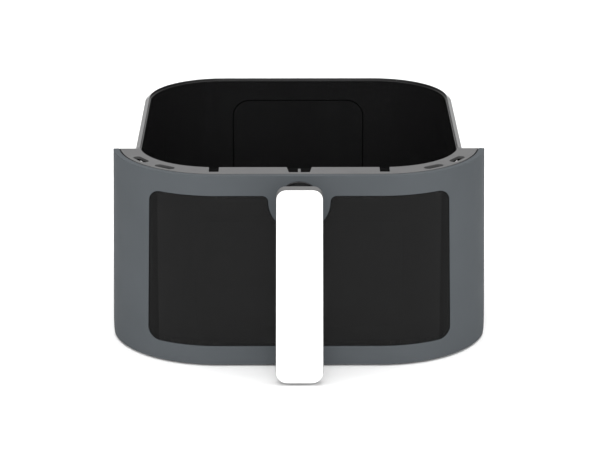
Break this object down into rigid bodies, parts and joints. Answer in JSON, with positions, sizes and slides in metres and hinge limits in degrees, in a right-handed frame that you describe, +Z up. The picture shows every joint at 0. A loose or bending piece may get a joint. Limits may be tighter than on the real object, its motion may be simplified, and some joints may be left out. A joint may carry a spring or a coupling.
{
  "type": "air fryer drawer",
  "caption": "Pull-out drawer of an air fryer: a windowed front with a bar handle, a deep non-stick pan and a crisper plate that lifts out.",
  "frame": {"origin": "centre of the footprint, on the surface that the drawer stands on", "axes": "+X to the right when facing the handle, +Y from the handle towards the back of the pan, +Z up"},
  "size_m": [0.3044, 0.347, 0.16],
  "materials": {
    "shell_grey": "fine satin grain, cool dark grey",
    "ledge_grey": "satin, a lighter grey than the shell",
    "black_plastic": "fine matt grain",
    "smoked_glass": "polished, smoke tinted",
    "clear_glass": "polished",
    "seal_rubber": "matt",
    "zinc_steel": "zinc plated",
    "spring_steel": "bright",
    "shield_steel": "satin, blackened",
    "pan_coating": "glossy black non-stick with fine specks",
    "handle_grey": "satin",
    "handle_white": "smooth, semi-gloss",
    "neck_grey": "satin",
    "dish_black": "polished",
    "foot_silicone": "matt silicone"
  },
  "bodies": {
    "drawer": {"front_shell": "shell_grey", "ledge_cover": "ledge_grey", "lower_cover": "black_plastic", "end_caps": "black_plastic", "heat_shield": "shield_steel", "outer_window": "smoked_glass", "window_seal": "seal_rubber", "window_bezel": "black_plastic", "bezel_screws": "zinc_steel", "inner_window": "clear_glass", "inner_window_seal": "seal_rubber", "inner_window_frame": "shield_steel", "inner_frame_screws": "zinc_steel", "pan": "pan_coating", "pan_spacers": "zinc_steel", "pan_screws": "zinc_steel", "ledge_screws": "zinc_steel", "lower_screws": "zinc_steel", "rim_clips": "spring_steel", "interlock_tab": "ledge_grey", "handle_dish": "dish_black", "handle_neck": "neck_grey", "handle_body": "handle_grey", "handle_cover": "handle_white", "handle_bracket": "shield_steel", "handle_screws": "zinc_steel", "handle_strap_screws": "zinc_steel"},
    "crisper": {"crisper_plate": "pan_coating", "crisper_bumpers": "foot_silicone"}
  },
  "joints": [
    {"name": "crisper_lift", "type": "slide", "parent": "drawer", "child": "crisper", "axis": [0, 0, 1], "range_m": [0, 0.165]}
  ]
}
